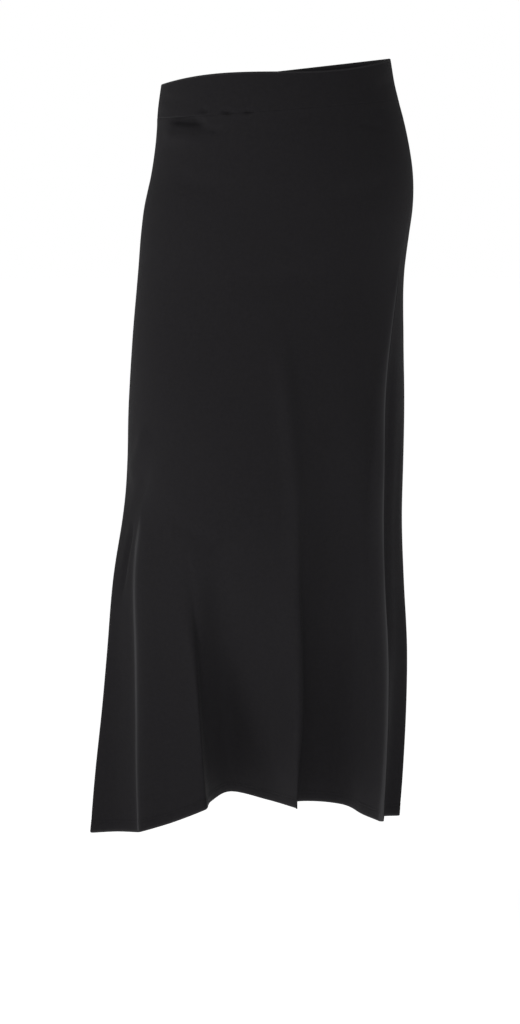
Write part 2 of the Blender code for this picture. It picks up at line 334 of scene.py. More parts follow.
def weighted_slopes(positions: Array, values: Array) -> Array:
    """Slopes through uneven points, each the mean of its two sides weighted by nearness.

    Args:
        positions: Rising places of the points.
        values: One row of values for each place.

    Returns:
        One row of slopes for each place.
    """
    gaps, rises = spans(positions, values)
    inner = (gaps[1:] * rises[:-1] + gaps[:-1] * rises[1:]) / (gaps[:-1] + gaps[1:])
    return np.concatenate([rises[:1], inner, rises[-1:]])


def steady_slopes(positions: Array, values: Array) -> Array:
    """Slopes that never make a rising run of points fall between two of them.

    Args:
        positions: Rising places of the points.
        values: One row of values for each place.

    Returns:
        One row of slopes for each place.
    """
    _, rises = spans(positions, values)
    same_way = rises[:-1] * rises[1:] > 0
    pairs = np.where(same_way, rises[:-1] + rises[1:], 1.0)
    inner = np.where(same_way, 2 * rises[:-1] * rises[1:] / pairs, 0.0)
    return np.concatenate([rises[:1], inner, rises[-1:]])


def curve_at(positions: Array, values: Array, slopes: Array, places: Array) -> Array:
    """The cubic through the points, read at many places along it.

    Args:
        positions: Rising places of the points.
        values: One row of values for each point.
        slopes: One row of slopes for each point.
        places: Where to read the curve.

    Returns:
        One column for each of the places, so that the values unpack by name.
    """
    i = np.clip(np.searchsorted(positions, places, side="right") - 1, 0, len(positions) - 2)
    gap = (positions[i + 1] - positions[i])[:, None]
    s = (places - positions[i])[:, None] / gap
    read = (
        (1 + 2 * s) * (1 - s) ** 2 * values[i]
        + s * (1 - s) ** 2 * gap * slopes[i]
        + s * s * (3 - 2 * s) * values[i + 1]
        - s * s * (1 - s) * gap * slopes[i + 1]
    )
    return read.T


def smooth_step(share: Array) -> Array:
    """A soft step from 0 to 1 as share goes from 0 to 1."""
    share = np.clip(share, 0.0, 1.0)
    return share * share * (3 - 2 * share)


def quieted(stands: Array, from_seam: Array) -> Array:
    """How much of the creases is left beside a seam, where it stands up."""
    return 1 - stands * (1 - smooth_step(from_seam / QUIET_OVER + QUIET_FROM))


def pinch(distance: Array) -> Array:
    """The height of a pinched fold, 1 at its edge, which is just rounded, and less to each side."""
    return np.exp(PINCH_LEVEL - PINCH_FALL * np.sqrt(distance**2 + PINCH_ROUNDING))


def unit(vectors: Array) -> Array:
    """Rows of vectors, each made one long."""
    return vectors / np.linalg.norm(vectors, axis=-1, keepdims=True)


@dataclass
class Drape:
    """The form that the cloth hangs in: rounded sections, and folds that open to the hem."""

    waist_half_width: float = 140.0
    band_top_left: float = -15.5
    band_top_right: float = 15.5
    band_top_sway: float = 7.5
    band_seam_left: float = -56.5
    band_seam_right: float = -35.0
    fold_opening: float = 1.2
    turn_from: float = -60.0
    turn_to: float = -430.0
    fold_reach: float = 5.0
    sharpest_mitre: float = 0.5
    round_for: float = 95.0
    crisp_over: float = 120.0
    tuck_reach: float = 8.0
    tuck_layers: int = 7
    place_samples: int = 1400
    lead: int = 2
    share_step: float = 0.002
    folds: tuple[Fold, ...] = FRONT_FOLDS + BACK_FOLDS

    def __post_init__(self) -> None:
        """Lays the tables out as curves down the figure and round the hem."""
        self.levels = np.array([-s.height for s in SECTIONS], float)
        self.reaches = np.array([(s.left, s.right, s.front, s.back) for s in SECTIONS], float)
        self.reach_slopes = weighted_slopes(self.levels, self.reaches)
        count = len(self.folds)
        # The folds go on round the hem past both ends, so that the curves join.
        span = range(-self.lead, count + self.lead + 1)
        rows = [(self.folds[i % count], FULL_TURN * (i // count)) for i in span]
        points = np.array([(f.x, f.y, f.z) for f, _ in rows], float)
        steps = np.linalg.norm(np.diff(points, axis=0), axis=1)
        self.places = np.concatenate([[0.0], np.cumsum(steps)])
        self.places -= self.places[self.lead]
        self.figure = np.array([(f.hip + t, f.thigh + t, f.start) for f, t in rows], float)
        self.figure_slopes = steady_slopes(self.places, self.figure)
        middle, half_width, front, back = self.section_at(points[:, 2])
        depth = np.where(points[:, 1] < 0, front, back)
        self.hem = np.stack(
            [(points[:, 0] - middle) / half_width, points[:, 1] / depth, points[:, 2]], axis=1
        )
        loose = np.array([1.0 - f.firm for f, _ in rows])[:, None]
        self.round_slopes = weighted_slopes(self.places, self.hem)
        self.hem_slopes = self.round_slopes * loose
        self.left_seam = 0.0
        self.right_seam = float(self.places[self.lead + len(FRONT_FOLDS)])
        self.hem_round = float(self.places[self.lead + count])

    def section_at(self, height: Array) -> tuple[Array, Array, Array, Array]:
        """The section's middle across X, half width, front reach and back reach at heights."""
        level = np.clip(-height, self.levels[0], self.levels[-1])
        left, right, front, back = curve_at(self.levels, self.reaches, self.reach_slopes, level)
        return (left + right) / 2, (right - left) / 2, -front, back

    def across_waist(self, angle: Array, left: float, right: float) -> Array:
        """Heights on the tilted line that passes the waist's two sides at left and right."""
        x, _ = self.on_figure(angle, np.full_like(angle, (left + right) / 2))
        return left + (right - left) * (x / self.waist_half_width + 1) / 2

    def lines_at(self, place: Array) -> Array:
        """Lines of the cloth: angles at hip and thigh, and heights where they leave the figure."""
        return curve_at(self.places, self.figure, self.figure_slopes, place)

    def turned(self, hip: Array, thigh: Array, height: Array | float) -> Array:
        """The angle that a line has at a height, as it turns from hip to thigh."""
        share = smooth_step((self.turn_from - height) / (self.turn_from - self.turn_to))
        return hip + (thigh - hip) * share

    def pressed(self, angle: Array, height: Array) -> Array:
        """How far the figure presses the cloth out at angles and heights."""
        total = np.zeros_like(angle)
        for press in PRESSES:
            turn = (angle - press.angle + FULL_TURN / 2) % FULL_TURN - FULL_TURN / 2
            far = (turn / press.across) ** 2 + ((height - press.height) / press.along) ** 2
            total += press.push * np.exp(-far)
        return total

    def on_figure(self, angle: Array, height: Array) -> tuple[Array, Array]:
        """Where the cloth lies on the figure, across and deep, at angles and heights."""
        middle, half_width, front, back = self.section_at(height)
        turn = np.radians(angle)
        depth = np.where(np.cos(turn) > 0, front, back)
        out = self.pressed(angle, height)
        return middle + (half_width + out) * np.sin(turn), -(depth + out) * np.cos(turn)

    def around(self, angle: Array, height: Array) -> tuple[Array, Array]:
        """The cloth on the figure, all round the waist.

        Args:
            angle: Angles about the figure.
            height: A height for each angle.

        Returns:
            One row of x, y, z for each point, and the level unit direction outwards there.
        """
        ahead, point, behind = (
            np.stack([*self.on_figure(angle + turn, height), height], axis=-1)
            for turn in (1, 0, -1)
        )
        along = unit((ahead - behind)[:, :2])
        return point, np.stack([along[:, 1], -along[:, 0], np.zeros(len(along))], axis=-1)

    def seam_height(self, angle: Array) -> Array:
        """The height of the seam under the waistband at angles about the figure."""
        return self.across_waist(angle, self.band_seam_left, self.band_seam_right)

    def top_height(self, angle: Array) -> Array:
        """The height of the waistband's folded top edge at angles about the figure."""
        turn = np.radians(angle)
        sway = -self.band_top_sway * np.sin(2 * turn) * np.maximum(0.0, np.cos(turn))
        return self.across_waist(angle, self.band_top_left, self.band_top_right) + sway

    def surface(self, place: Array, share: Array) -> Array:
        """Points of the panels' outer face.

        Args:
            place: Millimetres along the hem from the left side seam, by way of the front.
            share: 0 at the seam under the waistband, 1 at the hem.

        Returns:
            One row of x, y, z for each point.
        """
        hip, thigh, start = self.lines_at(place)
        hem_x, hem_y, hem_z = curve_at(self.places, self.hem, self.hem_slopes, place)
        top = self.seam_height(hip)
        height = top + (hem_z - top) * share
        opened = np.clip((start - height) / (start - hem_z), 0.0, 1.0) ** self.fold_opening
        middle, half_width, front, back = self.section_at(height)
        x, y = self.on_figure(self.turned(hip, thigh, height), height)
        round_x, round_y, _ = curve_at(self.places, self.hem, self.round_slopes, place)
        crisp = smooth_step((start - self.round_for - height) / self.crisp_over)
        hem_x = round_x + (hem_x - round_x) * crisp
        hem_y = round_y + (hem_y - round_y) * crisp
        loose_x = middle + half_width * hem_x
        loose_y = np.where(hem_y < 0, front, back) * hem_y
        return np.stack(
            [x + (loose_x - x) * opened, y + (loose_y - y) * opened, height], axis=-1
        )

    def inwards(self, place: Array, share: Array) -> tuple[Array, Array]:
        """How a wall lies at points of the panels' face.

        Args:
            place: Millimetres along the hem.
            share: 0 at the waistband's seam, 1 at the hem.

        Returns:
            The step inwards for each millimetre of depth, and the unit direction along the hem.
        """
        ahead = self.surface(place + self.fold_reach, share)
        point = self.surface(place, share)
        behind = self.surface(place - self.fold_reach, share)
        below = self.surface(place, np.minimum(1.0, share + self.share_step))
        down = below - self.surface(place, np.maximum(0.0, share - self.share_step))
        along = unit(ahead - behind)
        outward = unit(np.cross(down, along))
        one_side = unit(np.cross(down, point - behind))
        other_side = unit(np.cross(down, ahead - point))
        half_fold = np.sqrt(np.clip((1 + (one_side * other_side).sum(axis=-1)) / 2, 0.0, 1.0))
        return -outward / np.maximum(half_fold, self.sharpest_mitre)[..., None], along

    def tucked(self, place: Array, share: Array, depth: float) -> Array:
        """Points of a layer that lies inside the cloth, and fills its sharp folds.

        Args:
            place: Millimetres along the hem.
            share: 0 at the waistband's seam, 1 at the hem.
            depth: Millimetres in from the outer face.

        Returns:
            One row of x, y, z for each point.
        """
        layers = []
        for step in np.linspace(-self.tuck_reach, self.tuck_reach, self.tuck_layers):
            inwards, _ = self.inwards(place + step, share)
            layers.append(self.surface(place + step, share) + unit(inwards) * depth)
        return np.mean(layers, axis=0)

    def place_of(self, angle: float, height: float) -> float:
        """The place along the hem of the cloth's line that passes an angle at a height."""
        places = np.linspace(0.0, self.hem_round, self.place_samples)
        hip, thigh, _ = self.lines_at(places)
        angles = self.turned(hip, thigh, height)
        wrapped = angle + FULL_TURN if angle < angles[0] else angle
        return float(np.interp(wrapped, angles, places))

    def share_of(self, place: float, height: float) -> float:
        """The share of the panel's length at a height on the cloth's line at a place."""
        top, low = self.surface(np.array([place, place]), np.array([0.0, 1.0]))[:, 2]
        return (top - height) / (top - low)


@dataclass
class Relief:
    """The finer form of the cloth: creases laid on the drape, and its slight unevenness."""

    drape: Drape
    creases: tuple[Crease, ...]
    on_band: bool = False
    steps: int = 28
    ends: float = 2.6
    sway: float = 0.45

    def __post_init__(self) -> None:
        """Draws each crease's path on the cloth."""
        self.lines = [(crease, self.line(crease)) for crease in self.creases]

    def line(self, crease: Crease) -> Array:
        """A crease's path as close points on the cloth.

        Args:
            crease: The crease to draw.

        Returns:
            One row of x, y, z for each step along the path.
        """
        marks = np.array(crease.path, float)
        if marks[:, 0].max() > FULL_TURN / 2:
            marks[marks[:, 0] < 0, 0] += FULL_TURN
        at = np.arange(len(marks), dtype=float)
        read = np.linspace(0, len(marks) - 1, self.steps)
        angle, height = curve_at(at, marks, weighted_slopes(at, marks), read)
        if self.on_band:
            return np.stack([*self.drape.on_figure(angle, height), height], axis=-1)
        places = np.array([self.drape.place_of(a, h) for a, h in zip(angle, height)])
        shares = np.array([self.drape.share_of(p, h) for p, h in zip(places, height)])
        return self.drape.surface(places, shares)

    def rise_at(self, points: Array, outward: Array) -> Array:
        """How far the creases lift or sink the cloth.

        Args:
            points: Points of the cloth's smooth face.
            outward: The face's outward normals there.

        Returns:
            Millimetres outwards for each point.
        """
        total = self.unevenness(points)
        for crease, line in self.lines:
            margin = self.ends * crease.width
            low, high = line.min(axis=0) - margin, line.max(axis=0) + margin
            near = np.all((points > low) & (points < high), axis=1)
            if near.any():
                total[near] += self.profile(crease, line, points[near], outward[near])
        return total

    def profile(self, crease: Crease, line: Array, points: Array, outward: Array) -> Array:
        """One crease's rise at points near it.

        Args:
            crease: The crease.
            line: Its path.
            points: Points of the cloth near the path.
            outward: The cloth's normals at the points.

        Returns:
            Millimetres outwards for each point.
        """
        start, step = line[:-1], np.diff(line, axis=0)
        from_start = points[:, None] - start[None]
        along = np.clip((from_start * step).sum(axis=2) / (step * step).sum(axis=1), 0.0, 1.0)
        away = from_start - along[..., None] * step
        far = (away * away).sum(axis=2)
        nearest = far.argmin(axis=1)
        row = np.arange(len(points))
        run = (nearest + along[row, nearest]) / len(step)
        distance = np.sqrt(far[row, nearest]) / crease.width
        left = np.cross(outward, step[nearest])
        side = np.sign((away[row, nearest] * left).sum(axis=1))
        fade = smooth_step(run / crease.fade) * smooth_step((1 - run) / crease.fade)
        bell = pinch(distance) if crease.pinched else np.exp(-distance**2)
        return crease.rise * fade * bell * (1 - 2 * crease.lip * side * distance)

    def unevenness(self, points: Array) -> Array:
        """The slight waves of cloth that hangs freely, the same at every run."""
        # Wave lengths in millimetres with no common measure, so that no pattern comes back.
        x, y, z = points.T
        slow = np.sin(x / 31 + z / 67 + 0.7) * np.sin(z / 83 - y / 41 + 1.9)
        quick = np.sin(x / 17 - z / 143 + y / 23) * np.sin(z / 51 + 0.4)
        hang = smooth_step((-z - 60) / 300)
        return self.sway * (0.35 + 0.65 * hang) * (slow + 0.5 * quick)


def grid_object(name: str, points: Array, cloth: Array, highlight_and_wear: Array) -> bpy.types.Object:
    """A sheet of faces from a bmesh grid whose corners are moved to their places.

    Args:
        name: The piece's name.
        points: Rows by columns of x, y, z in millimetres, from the lowest row up.
        cloth: Rows by columns of cloth coordinates in millimetres.
        highlight_and_wear: Rows by columns of painted highlight, with some real wear, along edges,
            from 0 to 1.

    Returns:
        The linked object.
    """
    rows, columns = points.shape[:2]
    form = bmesh.new()
    bmesh.ops.create_grid(form, x_segments=columns - 1, y_segments=rows - 1, size=0.5)
    form.verts.ensure_lookup_table()
    flat = np.array([v.co[:2] for v in form.verts])
    column = np.rint((flat[:, 0] + 0.5) * (columns - 1)).astype(int)
    row = np.rint((flat[:, 1] + 0.5) * (rows - 1)).astype(int)
    for vert, place in zip(form.verts, points[row, column] * METRES_PER_MM):
        vert.co = place
    mesh = bpy.data.meshes.new(name)
    form.to_mesh(mesh)
    form.free()
    # Keeps the painted highlight and wear on the mesh, so that the material lightens the colour
    # there.
    lit_and_worn = mesh.attributes.new(HIGHLIGHT_AND_WEAR, "FLOAT", "POINT")
    lit_and_worn.data.foreach_set("value", highlight_and_wear[row, column].astype(np.float32))
    corner = np.empty(len(mesh.loops), np.int32)
    mesh.loops.foreach_get("vertex_index", corner)
    layer = mesh.uv_layers.new(name=CLOTH_UV)
    marks = cloth[row, column] * METRES_PER_MM
    layer.data.foreach_set("uv", marks[corner].astype(np.float32).ravel())
    mesh.shade_smooth()
    return placed(name, mesh)


def placed(name: str, data: bpy.types.ID) -> bpy.types.Object:
    """An object in the scene, at the origin, for a mesh, a light or a camera."""
    made = bpy.data.objects.new(name, data)
    bpy.context.scene.collection.objects.link(made)
    return made


def thicken(piece: bpy.types.Object, thickness: float) -> None:
    """Gives a sheet its wall, inwards from its outer face, in millimetres."""
    wall = piece.modifiers.new("wall", "SOLIDIFY")
    wall.thickness = thickness * METRES_PER_MM
    wall.offset = -1.0
    wall.use_rim = True


def close_ring(piece: bpy.types.Object) -> None:
    """Joins the two ends of a strip that runs once round the waist."""
    form = bmesh.new()
    form.from_mesh(piece.data)
    bmesh.ops.remove_doubles(form, verts=form.verts, dist=MERGE_METRES)
    form.to_mesh(piece.data)
    form.free()


def dress(piece: bpy.types.Object, material: bpy.types.Material) -> bpy.types.Object:
    """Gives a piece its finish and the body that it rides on."""
    piece.data.materials.append(material)
    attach(piece, BODY)
    return piece


def arc_lengths(points: Array) -> Array:
    """How far each point of a grid lies along its row, from the row's middle."""
    steps = np.linalg.norm(np.diff(points, axis=1), axis=2)
    run = np.concatenate([np.zeros((len(points), 1)), np.cumsum(steps, axis=1)], axis=1)
    return run - run[:, run.shape[1] // 2][:, None]


def group_wiring(
    name: str, inputs: Mapping[str, float | None], outputs: tuple[str, ...]
) -> "Wiring":
    """The wiring of a new, empty shader effect with named sockets.

    Args:
        name: The effect's name.
        inputs: Each input's default number, or None where it is a vector.
        outputs: The name of each output, a number.

    Returns:
        The wiring, ready for more nodes.
    """
    tree = bpy.data.node_groups.new(name, "ShaderNodeTree")
    for label, value in inputs.items():
        kind = "NodeSocketVector" if value is None else "NodeSocketFloat"
        socket = tree.interface.new_socket(name=label, in_out="INPUT", socket_type=kind)
        if value is not None:
            socket.default_value = value
    for label in outputs:
        tree.interface.new_socket(name=label, in_out="OUTPUT", socket_type="NodeSocketFloat")
    tree.nodes.new("NodeGroupInput")
    tree.nodes.new("NodeGroupOutput")
    return Wiring(tree)


class NodeGroups:
    """The shader effects that more than one material uses, each built once."""

    @cached_property
    def knit(self) -> bpy.types.ShaderNodeTree:
        """The fine V-shaped stitches of jersey: cloth coordinates in metres to a height."""
        wiring = group_wiring(
            "jersey knit", {"Cloth": None, "Wale": 0.0009, "Course": 0.0007}, ("Height",)
        )
        parts = wiring.add("ShaderNodeSeparateXYZ", Vector=wiring.outside("Cloth")).outputs
        wale = wiring.math("DIVIDE", parts[0], wiring.outside("Wale"))
        course = wiring.math("DIVIDE", parts[1], wiring.outside("Course"))
        from_rib = wiring.math("PINGPONG", wale, 0.5)
        lean = wiring.math("MULTIPLY_ADD", from_rib, 1.1, course)
        loop = wiring.math("SINE", wiring.math("MULTIPLY", lean, math.tau))
        rib = wiring.math("SINE", wiring.math("MULTIPLY", from_rib, math.tau))
        height = wiring.math("ADD", wiring.math("MULTIPLY", loop, 0.22), rib)
        wiring.result("Height", wiring.math("MULTIPLY_ADD", height, 0.4, 0.5))
        return wiring.tree

    @cached_property
    def hand(self) -> bpy.types.ShaderNodeTree:
        """A cloth's soft unevenness: object coordinates to a height and a tone, near 0.5."""
        wiring = group_wiring("cloth hand", {"Place": None}, ("Height", "Tone"))
        place = wiring.outside("Place")
        broad, fine, fuzz = (
            wiring.add("ShaderNodeTexNoise", Vector=place, Scale=scale, Detail=detail).outputs[0]
            for scale, detail in ((22.0, 2.0), (260.0, 3.0), (1500.0, 1.0))
        )
        height = wiring.math("MULTIPLY_ADD", fine, 0.25, broad)
        wiring.result("Height", wiring.math("MULTIPLY_ADD", fuzz, 0.05, height))
        tone = wiring.math("MULTIPLY", fine, 0.5)
        wiring.result("Tone", wiring.math("MULTIPLY_ADD", fuzz, 0.5, tone))
        return wiring.tree


@dataclass
class Wiring:
    """Short calls that add linked nodes to a tree."""

    tree: bpy.types.NodeTree

    def outside(self, name: str) -> Socket:
        """A group's input socket by name."""
        source = next(n for n in self.tree.nodes if n.type == "GROUP_INPUT")
        return source.outputs[name]

    def result(self, name: str, value: Socket) -> None:
        """Sends a value out of the group by a socket's name."""
        end = next(n for n in self.tree.nodes if n.type == "GROUP_OUTPUT")
        self.tree.links.new(value, end.inputs[name])

    def feed(self, node: bpy.types.Node, values: Mapping[str | int, Value]) -> bpy.types.Node:
        """Links a node's inputs to other sockets, or sets them.

        Args:
            node: The node.
            values: What each input takes, by the input's name or number.

        Returns:
            The node.
        """
        for key, value in values.items():
            if isinstance(value, Socket):
                self.tree.links.new(value, node.inputs[key])
            else:
                node.inputs[key].default_value = value
        return node

    def add(self, kind: str, **values: Value) -> bpy.types.Node:
        """A new node of one kind, with its inputs fed by name."""
        return self.feed(self.tree.nodes.new(kind), values)

    def math(self, operation: str, *values: Socket | float) -> Socket:
        """The result of a Math node.

        Args:
            operation: The node's operation.
            values: Its one, two or three values.

        Returns:
            The node's output.
        """
        node = self.feed(self.tree.nodes.new("ShaderNodeMath"), dict(enumerate(values)))
        node.operation = operation
        return node.outputs[0]

    def mix(self, factor: Socket, first: Socket | Colour, second: Colour) -> Socket:
        """A colour between two.

        Args:
            factor: 0 for the first colour, and 1 for the second.
            first: The first colour, or a socket that gives it.
            second: The second colour.

        Returns:
            The node's colour.
        """
        node = self.tree.nodes.new("ShaderNodeMix")
        node.data_type = "RGBA"
        start = first if isinstance(first, Socket) else (*first, 1.0)
        return self.feed(node, {"Factor": factor, 6: start, 7: (*second, 1.0)}).outputs[2]

    def place(self) -> Socket:
        """The object's own coordinates, in metres."""
        return self.add("ShaderNodeTexCoord").outputs["Object"]

    def group(self, tree: bpy.types.NodeTree, **values: Value) -> bpy.types.NodeOutputs:
        """The outputs of a shared effect in this tree, with its inputs fed by name."""
        node = self.tree.nodes.new("ShaderNodeGroup")
        node.node_tree = tree
        return self.feed(node, values).outputs


def new_material(name: str) -> tuple[bpy.types.Material, Wiring, bpy.types.Node]:
    """A new material, its wiring and its surface shader."""
    made = bpy.data.materials.new(name)
    made.use_nodes = True
    return made, Wiring(made.node_tree), made.node_tree.nodes["Principled BSDF"]


@dataclass(frozen=True)
class JerseyFinish:
    """Black jersey: its colour, how it takes the light, and the size of its stitches."""

    name: str
    colour: Colour = (0.0108, 0.0099, 0.0114)
    # A paler colour, reached by the cloth's random tone and by the knit's raised loops; the lighter
    # loops are painted shade of the stitches.
    paler_and_lit_loops: Colour = (0.0205, 0.0195, 0.0215)
    # The colour of the painted highlight along seam ridges and the band's lit edge, and of painted
    # sheen with some real wear on folded edges.
    lit_and_worn: Colour = (0.058, 0.057, 0.060)
    roughness: float = 0.85
    worn_gloss: float = -0.10
    hand_gloss: float = 0.06
    specular: float = 0.14
    sheen: float = 0.01
    sheen_roughness: float = 0.45
    wale: float = 0.0009
    course: float = 0.0007
    # How far the knit's raised loops lighten the colour: painted shade of the stitches.
    knit_painted_shade: float = 0.16
    tones: tuple[float, float] = (0.35, 1.25)
    knit_depth: float = 0.00012
    knit_strength: float = 0.8
    hand_depth: float = 0.0007
    hand_strength: float = 0.6

    def material(self, groups: NodeGroups) -> bpy.types.Material:
        """The finish as a material.

        Args:
            groups: The shared effects.

        Returns:
            A material that reads the piece's cloth coordinates and the painted highlight and wear
            along its edges.
        """
        made, wiring, shader = new_material(self.name)
        cloth = wiring.add("ShaderNodeUVMap")
        cloth.uv_map = CLOTH_UV
        # Reads the painted highlight and wear along the piece's edges.
        edges = wiring.add("ShaderNodeAttribute")
        edges.attribute_name = HIGHLIGHT_AND_WEAR
        highlight_and_wear = edges.outputs["Fac"]
        knit = wiring.group(
            groups.knit, Cloth=cloth.outputs[0], Wale=self.wale, Course=self.course
        )
        hand = wiring.group(groups.hand, Place=wiring.place())
        # The knit's height lightens the loops' tops and darkens the gaps between them as painted
        # shade, added to the cloth's random tone.
        tone = wiring.math("MULTIPLY_ADD", knit["Height"], self.knit_painted_shade, hand["Tone"])
        span = {"Value": tone, "From Min": self.tones[0], "From Max": self.tones[1]}
        ramp = wiring.add("ShaderNodeMapRange", **span)
        base = wiring.mix(ramp.outputs["Result"], self.colour, self.paler_and_lit_loops)
        rough = wiring.math("MULTIPLY_ADD", highlight_and_wear, self.worn_gloss, self.roughness)
        face = wiring.add(
            "ShaderNodeBump", Distance=self.hand_depth, Strength=self.hand_strength,
            Height=hand["Height"],
        )
        stitches = wiring.add(
            "ShaderNodeBump", Distance=self.knit_depth, Strength=self.knit_strength,
            Height=knit["Height"], Normal=face.outputs[0],
        )
        wiring.feed(shader, {
            # Painted highlight, with some real wear, lightens the colour along seams and folded
            # edges.
            "Base Color": wiring.mix(highlight_and_wear, base, self.lit_and_worn),
            "Roughness": wiring.math("MULTIPLY_ADD", hand["Tone"], self.hand_gloss, rough),
            "Metallic": 0.0,
            "Specular IOR Level": self.specular,
            "Sheen Weight": self.sheen,
            "Sheen Roughness": self.sheen_roughness,
            "Normal": stitches.outputs[0],
        })
        return made


@dataclass(frozen=True)
class ThreadFinish:
    """Black sewing thread, a little glossier than the cloth, with its twist."""

    name: str = "black_thread"
    colour: Colour = (0.010, 0.010, 0.0105)
    shade: float = 0.7
    specular: float = 0.2
    roughness: float = 0.68
    twist: float = 1400.0
    twist_gloss: float = 0.12
    twist_depth: float = 0.00008

    def material(self) -> bpy.types.Material:
        """The finish as a material."""
        made, wiring, shader = new_material(self.name)
        wave = wiring.add("ShaderNodeTexWave", Scale=self.twist, Vector=wiring.place())
        wave.bands_direction = "DIAGONAL"
        twist = wave.outputs["Fac"]
        shaded = tuple(self.shade * part for part in self.colour)
        bump = wiring.add("ShaderNodeBump", Distance=self.twist_depth, Height=twist)
        wiring.feed(shader, {
            "Base Color": wiring.mix(twist, shaded, self.colour),
            "Roughness": wiring.math("MULTIPLY_ADD", twist, self.twist_gloss, self.roughness),
            "Specular IOR Level": self.specular,
            "Normal": bump.outputs[0],
        })
        return made


@dataclass
class Hem:
    """A hem turned up once inside, and held by two rows of stitches."""

    turned: float = 16.0
    fold_radius: float = 1.3
    stitch_rows: tuple[float, float] = (11.5, 14.5)
    ditch: float = 0.30
    ditch_width: float = 0.9
    pucker: float = 0.30
    pucker_pitch: float = 8.3
    pucker_reach: float = 7.0
    doubled: float = 0.25
    doubled_over: float = 1.5
    above: tuple[float, ...] = (
        1.3, 3.0, 5.5, 8.0, 10.0, 10.8, 11.5, 12.2, 13.0, 13.8, 14.5, 15.2, 16.2, 18.0, 21.0, 25.0,
    )
    fold_steps: int = 6
    inside: tuple[float, ...] = (1.3, 4.0, 7.5, 11.0, 13.5, 15.0, 16.0)

    def rise_at(self, above: Array, place: Array) -> Array:
        """How the stitches draw the cloth in, and how it puckers between them.

        Args:
            above: Millimetres above the hem's fold.
            place: Millimetres along the hem.

        Returns:
            Millimetres outwards for each point.
        """
        total = np.zeros_like(above)
        for row in self.stitch_rows:
            total -= self.ditch * np.exp(-(((above - row) / self.ditch_width) ** 2))
        # Each wave's length wanders with a slower one, so that the puckers aren't even.
        wave = np.sin(math.tau * place / self.pucker_pitch + 1.6 * np.sin(place / 29.0))
        slow = 0.6 + 0.4 * np.sin(place / 71.0 + 1.0)
        middle = sum(self.stitch_rows) / 2
        near = np.exp(-(((above - middle) / self.pucker_reach) ** 2))
        total += self.pucker * slow * wave * near
        return total + self.doubled * smooth_step((self.turned - above) / self.doubled_over)


